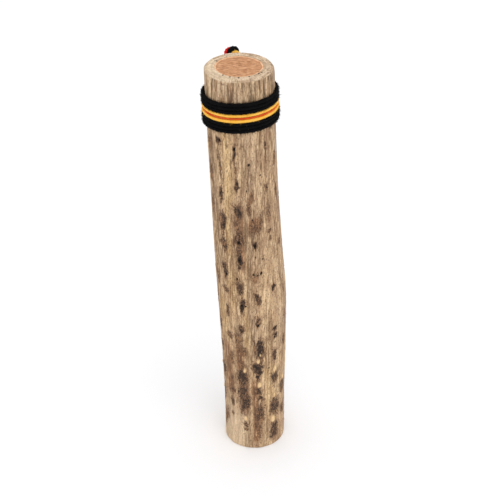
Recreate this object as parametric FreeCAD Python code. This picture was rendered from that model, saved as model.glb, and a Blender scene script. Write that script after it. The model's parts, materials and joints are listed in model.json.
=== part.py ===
"""Rainstick: a dried cactus stem, plugged at both ends, with rows of thorns driven through its wall and a
charge of small pebbles that trickles through them when the stick is turned over. A yarn band is wound round
the upper end and carries a twisted hanging loop.

Frame: millimetres, +Z up, origin at the centre of the foot, which is cut flat and stands on z = 0. The stem
leans a little towards -X. The front is -Y and the hanging loop is at the back, on the +Y side.

Each solid group is written to parts/NODE.step.
"""

import FreeCAD, Part

import math
import os
import random

from FreeCAD import Matrix, Rotation, Vector

# Stem
LENGTH = 300.0
TOP_OFFSET = -11.5  # X of the top's centre, from the lean of the stem
RIBS = 13  # each rib of the cactus carries one row of thorns
FIRST_RIB_DEG = -78.0  # rib 0, just right of the front
RIB_DEPTH = 0.2  # half the height from valley to crest
OVAL = 0.35  # how far the section is out of round
OVAL_DEG = 25.0
SECTION_STEP = 20.0
TOP_CHAMFER = 1.5
FOOT_CHAMFER = 0.7
# Height, X of the section's centre, mean radius. The stem swells a little below the middle.
STATIONS = (
    (0.0, 0.0, 21.7),
    (45.0, -0.6, 21.7),
    (90.0, -1.6, 22.6),
    (130.0, -3.0, 23.7),
    (162.0, -5.2, 23.0),
    (220.0, -8.4, 22.2),
    (300.0, TOP_OFFSET, 21.8),
)

# Hollow, along a straight line from the foot's centre to the top's centre
BORE_MOUTH_R = 13.9
BORE_R = 14.8
MOUTH_TAPER = 18.0
MOUTH_OVERLAP = 1.5  # how far the hollow runs into the plug seats, so that its slanted end opens fully

# Plugs and the glue that holds them
PLUG_R = 14.4
PLUG_T = 9.0
PLUG_CHAMFER = 0.5
PLUG_RECESS = 0.2
SEAT_R = 15.4
SEAT_DEPTH = PLUG_T + PLUG_RECESS
GLUE_RECESS = 0.35

# Thorns
THORN_PITCH = 21.0  # along each rib
THORN_PHASE = 16.0  # of rib 0, above the lowest place
THORN_LOWEST = 15.0
THORN_STAGGER = 6  # in thirteenths of the pitch, from one rib to the next
THORN_R = 0.8
THORN_TIP_R = 0.15
THORN_POINT = 10.2  # length of the tapered point. The rest is straight and lies in the wall.
THORN_REACH = 3.3  # how near a tip comes to the axis of the hollow
THORN_SLOPE = 2.0  # a tip stands this much above or below its head
THORN_SUNK = 1.2  # the broken head lies this far below the surface
HOLE_CLEARANCE = 0.03

# Pebbles
PILE_HEIGHT = 26.0
OUTER_COLUMN_R = 11.6
OUTER_PEBBLE = (1.5, 1.9)  # least and greatest long semi-axis
INNER_COLUMN_R = 7.6
INNER_PEBBLE = (1.0, 1.22)
CORE_PEBBLE = (2.3, 2.6)
PEBBLE_GAP = 0.06
PEBBLE_SEED = 7

# Yarn band. Heights are offsets from the band's middle, which lies in a tilted plane.
BAND_Z = 274.4
BAND_TILT_X = 1.05  # rise of the +X side
BAND_TILT_FRONT = 0.75  # rise of the front
YARN_STANDOFF = 0.15
BLACK_YARN_R = 1.15
BLACK_TURNS = 3
BLACK_PITCH = 2.45
YELLOW_YARN_R = 1.1
YELLOW_OFFSET = 1.9
RED_YARN_R = 0.72
RED_LIFT = 0.5  # the red yarn rides this far off the wood
BLACK_OFFSET = YELLOW_OFFSET + YELLOW_YARN_R + BLACK_YARN_R + 0.1
CROSSING_DEG = 60.0  # where each black turn steps up to the next
CROSSING_WIDTH_DEG = 45.0
JOINT_DEG = 100.0  # where the ends of the single turns meet, under the keeper
JOINT_GAP = 0.6

# Hanging loop: a three-strand cord bent into a long ring that hangs in a keeper on the band
LOOP_X = -14.0
LOOP_LEAN_DEG = 5.0
LOOP_BEND_R = 4.45
LOOP_LEG = 16.8
STRAND_R = 1.0
STRAND_HELIX_R = 1.38
STRAND_TWISTS = -3  # the sign gives the hand
STRAND_START_DEG = 25.0
STRAND_STEPS = 56
CORD_R = STRAND_R + STRAND_HELIX_R
CORD_TO_BAND = 0.3
KEEPER_YARN_R = 1.1
KEEPER_R = BLACK_OFFSET
KEEPER_BITE = 1.1  # how deep its ends are sewn into the band


def smooth_station(z, column):
    """A column of STATIONS at height z, on a Catmull-Rom curve through the stations."""
    rows = STATIONS
    i = max(n for n in range(len(rows) - 1) if rows[n][0] <= max(z, 0.0))
    z0, z1 = rows[i][0], rows[i + 1][0]
    t = (z - z0) / (z1 - z0)

    def slope(n):
        low, high = rows[max(n - 1, 0)], rows[min(n + 1, len(rows) - 1)]
        return (high[column] - low[column]) / (high[0] - low[0])

    h = z1 - z0
    a, b = rows[i][column], rows[i + 1][column]
    return (
        (2 * t**3 - 3 * t**2 + 1) * a
        + (t**3 - 2 * t**2 + t) * h * slope(i)
        + (3 * t**2 - 2 * t**3) * b
        + (t**3 - t**2) * h * slope(i + 1)
    )


def rib_angle(row):
    return math.radians(FIRST_RIB_DEG + 360.0 * row / RIBS)


def bore_centre(z):
    return Vector(TOP_OFFSET * z / LENGTH, 0, z)


def skin_radius(angle, z):
    """The stem's radius about its section's own centre."""
    ribbed = RIB_DEPTH * math.cos(RIBS * (angle - rib_angle(0)))
    oval = OVAL * math.cos(2 * (angle - math.radians(OVAL_DEG)))
    return smooth_station(z, 2) + ribbed + oval


def skin_point(angle, z, inset=0.0):
    r = skin_radius(angle, z) - inset
    return Vector(smooth_station(z, 1) + r * math.cos(angle), r * math.sin(angle), z)


def section(z, inset=0.0):
    """The outline at height z: one smooth closed curve, in one edge for each rib."""
    per_rib = 4
    count = per_rib * RIBS
    step = 2 * math.pi / count
    valley = rib_angle(0) - math.pi / RIBS
    curve = Part.BSplineCurve()
    curve.interpolate(
        Points=[skin_point(valley + step * n, z, inset) for n in range(count)],
        Parameters=list(range(count + 1)),
        PeriodicFlag=True,
    )
    return Part.Wire([curve.toShape(per_rib * rib, per_rib * (rib + 1)) for rib in range(RIBS)])


def outer_body():
    """The stem as a solid log: a smooth loft between two short chamfered ends."""
    low, high = FOOT_CHAMFER, LENGTH - TOP_CHAMFER
    count = round((high - low) / SECTION_STEP)
    levels = [low + (high - low) * n / count for n in range(count + 1)]
    log = Part.makeLoft([section(z) for z in levels], True, False)
    foot = Part.makeLoft([section(0.0, FOOT_CHAMFER), section(low)], True, True)
    crown = Part.makeLoft([section(high), section(LENGTH, TOP_CHAMFER)], True, True)
    return log.fuse([foot, crown])


def bore_piece(low, high, low_r, high_r):
    """A round stretch of the hollow, square to its leaning axis."""
    start, end = bore_centre(low), bore_centre(high)
    axis = end - start
    if low_r == high_r:
        return Part.makeCylinder(low_r, axis.Length, start, axis)
    return Part.makeCone(low_r, high_r, axis.Length, start, axis)


def hollow():
    """The natural hollow between the two plug seats. It narrows at its mouths, where the plugs rest."""
    low, high = SEAT_DEPTH - MOUTH_OVERLAP, LENGTH - SEAT_DEPTH + MOUTH_OVERLAP
    middle = bore_piece(low + MOUTH_TAPER, high - MOUTH_TAPER, BORE_R, BORE_R)
    mouths = [
        bore_piece(low, low + MOUTH_TAPER, BORE_MOUTH_R, BORE_R),
        bore_piece(high - MOUTH_TAPER, high, BORE_R, BORE_MOUTH_R),
    ]
    return middle.fuse(mouths)


def seat(top):
    base = Vector(TOP_OFFSET, 0, LENGTH - SEAT_DEPTH) if top else Vector(0, 0, 0)
    return Part.makeCylinder(SEAT_R, SEAT_DEPTH, base)


def thorn_places(row):
    """Heights of a row's thorns. Each row is staggered from the last, so the thorns wind up the stem."""
    phase = THORN_PHASE + THORN_PITCH * (THORN_STAGGER * row % RIBS) / RIBS
    z = THORN_LOWEST + phase % THORN_PITCH
    places = []
    while z <= LENGTH - THORN_LOWEST:
        places.append(z)
        z += THORN_PITCH
    return places


def thorn_head(row, z):
    """Where the row's own plane, which holds the axis of the hollow, meets the skin at height z."""
    angle = rib_angle(row)
    outward = Vector(math.cos(angle), math.sin(angle), 0)
    axis = bore_centre(z)
    middle = Vector(smooth_station(z, 1), 0, z)
    head = skin_point(angle, z)
    for _ in range(4):
        seen = head - middle
        short = skin_radius(math.atan2(seen.y, seen.x), z) - seen.Length
        head = axis + outward * ((head - axis).dot(outward) + short)
    return head


def thorn_line(row, index, z):
    """The tip, the direction to the head and the distance from the tip to the stem's skin. Thorns stay in
    their row's plane, so the lanes between the rows are straight."""
    angle = rib_angle(row)
    outward = Vector(math.cos(angle), math.sin(angle), 0)
    slope = THORN_SLOPE if index % 2 else -THORN_SLOPE
    tip = bore_centre(z + slope) + outward * THORN_REACH
    shaft = thorn_head(row, z) - tip
    return tip, Vector(shaft).normalize(), shaft.Length


def thorn(row, index, z):
    tip, direction, length = thorn_line(row, index, z)
    straight = length - THORN_SUNK - THORN_POINT
    shaft = Part.makeCylinder(THORN_R, straight, tip + direction * THORN_POINT, direction)
    return shaft.fuse(Part.makeCone(THORN_TIP_R, THORN_R, THORN_POINT, tip, direction))


def thorn_hole(row, index, z):
    """A straight hole from the hollow out through the skin."""
    tip, direction, length = thorn_line(row, index, z)
    past_skin = length - THORN_POINT + 2 * THORN_R
    return Part.makeCylinder(THORN_R + HOLE_CLEARANCE, past_skin, tip + direction * THORN_POINT, direction)


def each_thorn(make, row):
    return [make(row, index, z) for index, z in enumerate(thorn_places(row))]


def cactus_tube():
    tube = outer_body().cut([hollow(), seat(False), seat(True)])
    holes = [hole for row in range(RIBS) for hole in each_thorn(thorn_hole, row)]
    return tube.cut(holes)


def at_end(shape, top):
    """A shape made outward face up at z = 0, set into the top, or turned over and set into the foot."""
    if top:
        shape.translate(Vector(TOP_OFFSET, 0, LENGTH))
        return shape
    shape.rotate(Vector(0, 0, 0), Vector(1, 0, 0), 180)
    return shape


def plug(top):
    disc = Part.makeCylinder(PLUG_R, PLUG_T, Vector(0, 0, -SEAT_DEPTH))
    rim = [e for e in disc.Edges if abs(e.CenterOfMass.z + PLUG_RECESS) < 0.01 and e.Closed]
    return at_end(disc.makeChamfer(PLUG_CHAMFER, rim), top)


def glue_ring(top):
    height = SEAT_DEPTH - GLUE_RECESS
    base = Vector(0, 0, -SEAT_DEPTH)
    ring = Part.makeCylinder(SEAT_R, height, base).cut(Part.makeCylinder(PLUG_R, height, base))
    return at_end(ring, top)


def pebble(centre, long_axis, rng):
    """A water-worn pebble: three unlike axes, turned any way."""
    shape = Matrix()
    shape.scale(Vector(long_axis, long_axis * rng.uniform(0.8, 0.95), long_axis * rng.uniform(0.65, 0.85)))
    turn = Rotation(Vector(rng.uniform(-1, 1), rng.uniform(-1, 1), rng.uniform(-1, 1)), rng.uniform(0, 180))
    stone = Part.makeSphere(1.0).transformGeometry(shape)
    stone.Placement = FreeCAD.Placement(centre, turn)
    return stone


def pebble_column(radius, angle, sizes, rng):
    """Pebbles resting one on another, from the foot plug up to about PILE_HEIGHT, and the column's top."""
    stones = []
    z = SEAT_DEPTH + PEBBLE_GAP
    while z < SEAT_DEPTH + PILE_HEIGHT - sizes[1]:
        a = rng.uniform(*sizes)
        z += a
        centre = bore_centre(z) + Vector(radius * math.cos(angle), radius * math.sin(angle), 0)
        stones.append(pebble(centre, a, rng))
        z += a + PEBBLE_GAP
    return stones, z


def pebble_lane(lane):
    """The pebbles that run between two rows of thorns, and the height of their top."""
    rng = random.Random(PEBBLE_SEED + lane)
    angle = (rib_angle(lane) + rib_angle(lane + 1)) / 2
    outer, outer_top = pebble_column(OUTER_COLUMN_R, angle, OUTER_PEBBLE, rng)
    inner, inner_top = pebble_column(INNER_COLUMN_R, angle, INNER_PEBBLE, rng)
    return outer + inner, max(outer_top, inner_top)


def pebble_core():
    return pebble_column(0.0, 0.0, CORE_PEBBLE, random.Random(PEBBLE_SEED + RIBS))


def lane_travel(top):
    """How far a lane's pebbles can slide along the lean before the highest one meets the top plug."""
    lean = math.hypot(TOP_OFFSET, LENGTH) / LENGTH
    return (LENGTH - SEAT_DEPTH - PEBBLE_GAP - top) * lean


def band_point(angle, offset, yarn_r, lift=0.0):
    """A point on a yarn's centre line. The yarn spans the ribs, so it runs round their crests."""
    z = BAND_Z + BAND_TILT_X * math.cos(angle) - BAND_TILT_FRONT * math.sin(angle) + offset
    oval = OVAL * math.cos(2 * (angle - math.radians(OVAL_DEG)))
    r = smooth_station(z, 2) + oval + RIB_DEPTH + YARN_STANDOFF + lift + yarn_r
    return Vector(smooth_station(z, 1) + r * math.cos(angle), r * math.sin(angle), z)


def yarn(points, radius):
    """A round yarn along an open path."""
    curve = Part.BSplineCurve()
    curve.interpolate(Points=points, PeriodicFlag=False)
    start = curve.FirstParameter
    circle = Part.Circle(curve.value(start), curve.tangent(start)[0], radius)
    return Part.Wire([curve.toShape()]).makePipeShell([Part.Wire([circle.toShape()])], True, True)


def single_turn(offset, radius, lift=0.0):
    gap = math.degrees(JOINT_GAP / smooth_station(BAND_Z, 2))
    steps = 48
    angles = [math.radians(JOINT_DEG + gap / 2 + (360 - gap) * n / steps) for n in range(steps + 1)]
    return yarn([band_point(a, offset, radius, lift) for a in angles], radius)


def turn_level(degrees):
    """Which turn the winding is on. It stays level for most of a turn and steps up across the crossing."""
    whole, part = divmod(degrees, 360.0)
    t = max(0.0, (part - (360.0 - CROSSING_WIDTH_DEG)) / CROSSING_WIDTH_DEG)
    return whole + t * t * (3 - 2 * t)


def black_winding(above):
    """Three turns of one black yarn. It starts at the yellow yarn and works outwards."""
    side = 1 if above else -1
    total = 360.0 * BLACK_TURNS - CROSSING_WIDTH_DEG
    steps = round(total / 7.5)
    points = []
    for n in range(steps + 1):
        degrees = total * n / steps
        angle = math.radians(CROSSING_DEG + CROSSING_WIDTH_DEG / 2 + degrees)
        offset = BLACK_OFFSET + BLACK_PITCH * turn_level(degrees)
        points.append(band_point(angle, side * offset, BLACK_YARN_R))
    return yarn(points, BLACK_YARN_R)


def loop_pivot():
    """Where the cord bears in its keeper, clear of the band's outer face."""
    across = LOOP_X - smooth_station(BAND_Z, 1)
    angle = math.acos(across / (smooth_station(BAND_Z, 2) + 2 * BLACK_YARN_R))
    face = band_point(angle, 0.0, BLACK_YARN_R).z
    outside = smooth_station(face, 2) + OVAL + RIB_DEPTH + YARN_STANDOFF + 2 * BLACK_YARN_R
    return Vector(LOOP_X, outside + CORD_TO_BAND + CORD_R, face)


def ring_point(s):
    """The ring's centre line at distance s from the middle of its lower bend: point and tangent."""
    bend = math.pi * LOOP_BEND_R
    if s < bend / 2 or s > 2 * LOOP_LEG + 1.5 * bend:
        t = s / LOOP_BEND_R if s < bend / 2 else (s - 2 * (LOOP_LEG + bend)) / LOOP_BEND_R
        point = Vector(LOOP_BEND_R * math.sin(t), 0, LOOP_BEND_R * (1 - math.cos(t)))
        return point, Vector(math.cos(t), 0, math.sin(t))
    s -= bend / 2
    if s < LOOP_LEG:
        return Vector(LOOP_BEND_R, 0, LOOP_BEND_R + s), Vector(0, 0, 1)
    s -= LOOP_LEG
    if s < bend:
        t = s / LOOP_BEND_R
        centre = Vector(0, 0, LOOP_BEND_R + LOOP_LEG)
        out = Vector(math.cos(t), 0, math.sin(t))
        return centre + out * LOOP_BEND_R, Vector(-math.sin(t), 0, math.cos(t))
    s -= bend
    return Vector(-LOOP_BEND_R, 0, LOOP_BEND_R + LOOP_LEG - s), Vector(0, 0, -1)


def cord_strand(index):
    """One of the cord's three strands. Its ends meet inside the keeper."""
    length = 2 * (LOOP_LEG + math.pi * LOOP_BEND_R)
    points = []
    for n in range(STRAND_STEPS + 1):
        s = JOINT_GAP / 2 + (length - JOINT_GAP) * n / STRAND_STEPS
        centre, tangent = ring_point(s)
        twist = math.radians(STRAND_START_DEG) + 2 * math.pi * (STRAND_TWISTS * s / length + index / 3)
        back = Vector(0, 1, 0)
        side = tangent.cross(back)
        points.append(centre + (back * math.cos(twist) + side * math.sin(twist)) * STRAND_HELIX_R)
    strand = yarn(points, STRAND_R)
    strand.rotate(Vector(0, 0, 0), Vector(0, 1, 0), -LOOP_LEAN_DEG)
    strand.translate(loop_pivot())
    return strand


def loop_keeper():
    """A staple of yarn sewn into the band, through the ring and round the cord."""
    pivot = loop_pivot()
    foot = Vector(0, CORD_R + CORD_TO_BAND + KEEPER_BITE, 0)
    up = Vector(0, 0, KEEPER_R)
    top, bottom = pivot + up, pivot - up
    arc = Part.Arc(top, pivot + Vector(0, KEEPER_R, 0), bottom).toShape()
    path = Part.Wire([Part.makeLine(top - foot, top), arc, Part.makeLine(bottom, bottom - foot)])
    circle = Part.Circle(top - foot, Vector(0, 1, 0), KEEPER_YARN_R)
    return path.makePipeShell([Part.Wire([circle.toShape()])], True, True)


def all_nodes():
    nodes = {
        "cactus_tube": cactus_tube(),
        "top_plug": plug(True),
        "foot_plug": plug(False),
        "top_glue_ring": glue_ring(True),
        "foot_glue_ring": glue_ring(False),
        "black_yarn_upper": black_winding(True),
        "black_yarn_lower": black_winding(False),
        "yellow_yarn_upper": single_turn(YELLOW_OFFSET, YELLOW_YARN_R),
        "yellow_yarn_lower": single_turn(-YELLOW_OFFSET, YELLOW_YARN_R),
        "red_yarn": single_turn(0.0, RED_YARN_R, RED_LIFT),
        "loop_keeper": loop_keeper(),
    }
    for index, colour in enumerate(("black", "red", "yellow")):
        nodes[f"loop_strand_{colour}"] = cord_strand(index)
    for row in range(RIBS):
        nodes[f"thorn_row_{row + 1:02d}"] = Part.makeCompound(each_thorn(thorn, row))
        stones, top = pebble_lane(row)
        nodes[f"pebbles_lane_{row + 1:02d}"] = Part.makeCompound(stones)
        print(f"lane {row + 1:02d}: {len(stones)} pebbles, travel {lane_travel(top):.2f} mm")
    stones, top = pebble_core()
    nodes["pebbles_core"] = Part.makeCompound(stones)
    print(f"core: {len(stones)} pebbles, travel {lane_travel(top):.2f} mm")
    return nodes


os.makedirs("parts", exist_ok=True)
for name, shape in all_nodes().items():
    shape.exportStep(f"parts/{name}.step")
print("loop pivot", loop_pivot())
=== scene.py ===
import json
import math

import bpy
import numpy as np
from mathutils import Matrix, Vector


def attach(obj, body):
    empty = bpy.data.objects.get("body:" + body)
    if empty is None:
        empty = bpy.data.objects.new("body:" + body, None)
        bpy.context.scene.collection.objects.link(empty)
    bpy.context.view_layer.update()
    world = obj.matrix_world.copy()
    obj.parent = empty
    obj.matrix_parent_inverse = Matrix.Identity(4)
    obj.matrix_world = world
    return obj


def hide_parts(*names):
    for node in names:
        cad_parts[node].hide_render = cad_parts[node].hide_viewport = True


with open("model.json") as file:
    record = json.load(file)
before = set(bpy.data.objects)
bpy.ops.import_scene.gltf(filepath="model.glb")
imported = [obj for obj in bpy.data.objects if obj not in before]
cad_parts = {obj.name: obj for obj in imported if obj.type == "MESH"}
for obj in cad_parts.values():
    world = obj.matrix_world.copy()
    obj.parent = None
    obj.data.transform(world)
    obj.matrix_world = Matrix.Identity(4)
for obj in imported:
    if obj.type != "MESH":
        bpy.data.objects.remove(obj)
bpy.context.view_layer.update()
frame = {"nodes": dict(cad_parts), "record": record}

MM = 0.001
TAU = 2 * math.pi

# ---- the stem's form, in millimetres
LENGTH = 300.0
TOP_OFFSET = -11.5
RIBS = 13
FIRST_RIB = math.radians(-78.0)
RIB_DEPTH = 0.2
OVAL = 0.35
OVAL_AT = math.radians(25.0)
STATION_Z = np.array([0.0, 45.0, 90.0, 130.0, 162.0, 220.0, 300.0])
STATION_X = np.array([0.0, -0.6, -1.6, -3.0, -5.2, -8.4, TOP_OFFSET])
STATION_R = np.array([21.7, 21.7, 22.6, 23.7, 23.0, 22.2, 21.8])
TOP_CHAMFER = 1.5
FOOT_CHAMFER = 0.7
SEAT_R = 15.4
SEAT_DEPTH = 9.2
BORE_MOUTH_R = 13.9
BORE_R = 14.8
MOUTH_TAPER = 18.0
PLUG_R = 14.4
PLUG_RECESS = 0.2
END_RINGS = 9

# The side that faces the camera, and the rows of thorns
FRONT_DEG = -90.0
THORN_PITCH = 21.0
THORN_PHASE = 16.0
THORN_LOWEST = 15.0
THORN_STAGGER = 6

# The band, as offsets from a tilted middle plane. YARN_R places a yarn, and WOOL_R is how thick it is drawn.
BAND_Z = 274.4
BAND_TILT_X = 1.05
BAND_TILT_FRONT = 0.75
YARN_STANDOFF = 0.15
BLACK_YARN_R = 1.15
BLACK_WOOL_R = 1.22
BLACK_TURNS = 3
BLACK_PITCH = 2.45
YELLOW_YARN_R = 1.1
YELLOW_WOOL_R = 1.15
YELLOW_OFFSET = 1.9
RED_YARN_R = 0.72
RED_WOOL_R = 0.52
RED_LIFT = 0.5
BLACK_OFFSET = YELLOW_OFFSET + YELLOW_YARN_R + BLACK_YARN_R + 0.1
CROSSING_DEG = 60.0
CROSSING_WIDTH_DEG = 45.0
JOINT_DEG = 100.0
JOINT_GAP = 0.6

# The wool's surface and its loose fibres
PLIES = 3
PLY_GROOVE = 0.3
YARN_AROUND = 20
HAIR_LENGTH = 1.4
HAIR_R = 0.08
FELTED_HAIR_R = 0.13

# The hanging loop: a cord ring, round at both bends, with three strands twisted round its centre line
LOOP_X = -14.0
LOOP_LEAN = math.radians(5.0)
LOOP_BEND_R = 4.45
LOOP_TOP_BEND_R = 2.8
LOOP_CENTRES = 17.5
STRAND_R = 1.0
STRAND_HELIX_R = 1.38
STRAND_POINTS = 260
STRAND_TWISTS = -5
STRAND_START = math.radians(56.0)
KEPT_STRAND_R = 1.05
PUFF_REACH = 12.0
PUFF_SHIFT = 2.5
WOOL_HELIX_R = 1.4
CORD_R = STRAND_R + STRAND_HELIX_R
CORD_TO_BAND = 0.3
KEEPER_YARN_R = 1.1
KEEPER_BITE = 1.1

# The camera, in millimetres and degrees down from level
CAMERA_AT = (-8.556, -712.0, 634.0)
CAMERA_DOWN_DEG = 33.524
CAMERA_LENS = 89.74


# ---- number helpers
def station(z, values):
    """values at height z, on a Catmull-Rom curve through the stations."""
    z = np.asarray(z, float)
    i = np.clip(np.searchsorted(STATION_Z, z, side="right") - 1, 0, len(STATION_Z) - 2)
    n = np.arange(len(values))
    below, above = np.maximum(n - 1, 0), np.minimum(n + 1, len(values) - 1)
    slope = (values[above] - values[below]) / (STATION_Z[above] - STATION_Z[below])
    h = STATION_Z[i + 1] - STATION_Z[i]
    t = (z - STATION_Z[i]) / h
    return (
        (2 * t**3 - 3 * t**2 + 1) * values[i]
        + (t**3 - 2 * t**2 + t) * h * slope[i]
        + (3 * t**2 - 2 * t**3) * values[i + 1]
        + (t**3 - t**2) * h * slope[i + 1]
    )


def smooth(low, high, x):
    """0 at low and 1 at high, smooth between. low may be the greater."""
    t = np.clip((x - low) / (high - low), 0, 1)
    return t * t * (3 - 2 * t)


def lattice_noise(seed, angle, height, around, up):
    """Smooth noise in -1..1 that closes round the stem: around cells in a turn, up millimetres a cell."""
    rng = np.random.default_rng(seed)
    rows = int(math.ceil(LENGTH / up)) + 6
    grid = rng.uniform(-1, 1, (rows, around))
    u = (angle / TAU % 1.0) * around
    v = np.clip(height / up + 2, 0, rows - 1.001)
    u0, v0 = np.floor(u).astype(int), np.floor(v).astype(int)
    fu, fv = u - u0, v - v0
    fu, fv = fu * fu * (3 - 2 * fu), fv * fv * (3 - 2 * fv)
    a, b = grid[v0, u0 % around], grid[v0, (u0 + 1) % around]
    c, d = grid[v0 + 1, u0 % around], grid[v0 + 1, (u0 + 1) % around]
    return (a * (1 - fu) + b * fu) * (1 - fv) + (c * (1 - fu) + d * fu) * fv


def rib_angle(row):
    return FIRST_RIB + TAU * row / RIBS


def skin_radius(angle, z):
    """The ribbed stem's radius, without its relief."""
    ribbed = RIB_DEPTH * np.cos(RIBS * (angle - FIRST_RIB))
    return station(z, STATION_R) + ribbed + OVAL * np.cos(2 * (angle - OVAL_AT))


def thorn_heights(row):
    """The heights of one row's thorns."""
    phase = THORN_PHASE + THORN_PITCH * (THORN_STAGGER * row % RIBS) / RIBS
    return np.arange(THORN_LOWEST + phase % THORN_PITCH, LENGTH - THORN_LOWEST, THORN_PITCH)


# ---- mesh helpers
def add_object(name, verts_mm, faces, material, body, stands_for, fields=None):
    """A smooth mesh that rides its body and stands in for CAD nodes, with its vertex fields."""
    mesh = bpy.data.meshes.new(name)
    mesh.from_pydata((np.asarray(verts_mm) * MM).tolist(), [], faces)
    mesh.polygons.foreach_set("use_smooth", [True] * len(mesh.polygons))
    for label, values in (fields or {}).items():
        layer = mesh.attributes.new(label, "FLOAT_COLOR", "POINT")
        layer.data.foreach_set("color", np.asarray(values, np.float32).ravel())
    mesh.materials.append(material)
    mesh.update()
    obj = bpy.data.objects.new(name, mesh)
    bpy.context.scene.collection.objects.link(obj)
    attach(obj, body)
    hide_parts(*stands_for)


def circle(angle, radius, z):
    """Points at each angle round the z axis."""
    return np.stack([radius * np.cos(angle), radius * np.sin(angle), np.broadcast_to(z, angle.shape)], -1)


def ring_faces(rows, around, closed=False, offset=0):
    """Quads between rows of around points each."""
    faces = []
    last = rows if closed else rows - 1
    for j in range(last):
        a, b = offset + j * around, offset + (j + 1) % rows * around
        for i in range(around):
            n = (i + 1) % around
            faces.append((a + i, a + n, b + n, b + i))
    return faces


# ---- materials
def srgb(*display):
    """A colour given as 0..255 display values, as linear light."""
    linear = (((c / 255 + 0.055) / 1.055) ** 2.4 if c > 10 else c / 255 / 12.92 for c in display)
    return (*linear, 1.0)


class Shader:
    """A small wrapper that makes a Principled material from chained nodes."""

    def __init__(self, name):
        self.material = bpy.data.materials.new(name)
        self.material.use_nodes = True
        self.tree = self.material.node_tree
        self.tree.nodes.clear()
        self.surface = self.make("ShaderNodeBsdfPrincipled")
        out = self.make("ShaderNodeOutputMaterial")
        self.tree.links.new(self.surface.outputs[0], out.inputs[0])
        self.object_coords = self.make("ShaderNodeTexCoord").outputs["Object"]

    def make(self, kind, **props):
        node = self.tree.nodes.new(kind)
        for key, value in props.items():
            setattr(node, key, value)
        return node

    def put(self, socket, value):
        if isinstance(value, bpy.types.NodeSocket):
            self.tree.links.new(value, socket)
        else:
            socket.default_value = value

    def set(self, **inputs):
        for key, value in inputs.items():
            self.put(self.surface.inputs[key.replace("_", " ")], value)

    def stretched(self, x, y, z):
        node = self.make("ShaderNodeMapping")
        self.put(node.inputs["Vector"], self.object_coords)
        node.inputs["Scale"].default_value = (x, y, z)
        return node.outputs[0]

    def combined(self, x, y):
        node = self.make("ShaderNodeCombineXYZ")
        self.put(node.inputs[0], x)
        self.put(node.inputs[1], y)
        return node.outputs[0]

    def noise(self, scale, detail=3.0, rough=0.55, vector=None, distortion=0.0):
        node = self.make("ShaderNodeTexNoise")
        self.put(node.inputs["Vector"], vector or self.object_coords)
        settings = {"Scale": scale, "Detail": detail, "Roughness": rough, "Distortion": distortion}
        for key, value in settings.items():
            node.inputs[key].default_value = value
        return node.outputs["Fac"]

    def voronoi(self, scale, vector):
        node = self.make("ShaderNodeTexVoronoi")
        self.put(node.inputs["Vector"], vector)
        node.inputs["Scale"].default_value = scale
        return node.outputs["Distance"]

    def math(self, operation, a, b=0.0):
        node = self.make("ShaderNodeMath", operation=operation)
        self.put(node.inputs[0], a)
        self.put(node.inputs[1], b)
        return node.outputs[0]

    def plus(self, a, b):
        return self.math("ADD", a, b)

    def minus(self, a, b):
        return self.math("SUBTRACT", a, b)

    def times(self, a, b):
        return self.math("MULTIPLY", a, b)

    def step(self, value, low, high):
        """0 at low and 1 at high, smooth between. low may be the greater."""
        node = self.make("ShaderNodeMapRange", interpolation_type="SMOOTHSTEP")
        self.put(node.inputs["Value"], value)
        node.inputs["From Min"].default_value = low
        node.inputs["From Max"].default_value = high
        return node.outputs[0]

    def mix(self, factor, a, b):
        node = self.make("ShaderNodeMix", data_type="RGBA")
        self.put(node.inputs["Factor"], factor)
        self.put(node.inputs[6], a)
        self.put(node.inputs[7], b)
        return node.outputs[2]

    def ramp(self, factor, *stops):
        node = self.make("ShaderNodeValToRGB")
        elements = node.color_ramp.elements
        while len(elements) < len(stops):
            elements.new(0.5)
        for element, (place, colour) in zip(elements, stops):
            element.position = place
            element.color = colour
        self.put(node.inputs[0], factor)
        return node.outputs[0]

    def field(self, name):
        """The four channels of a vertex field."""
        node = self.make("ShaderNodeAttribute", attribute_name=name)
        split = self.make("ShaderNodeSeparateColor")
        self.tree.links.new(node.outputs["Color"], split.inputs[0])
        return (*split.outputs[:3], node.outputs["Alpha"])

    def bump(self, height, strength, distance_mm, normal=None):
        node = self.make("ShaderNodeBump")
        self.put(node.inputs["Height"], height)
        node.inputs["Strength"].default_value = strength
        node.inputs["Distance"].default_value = distance_mm * MM
        if normal is not None:
            self.put(node.inputs["Normal"], normal)
        return node.outputs[0]


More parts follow.
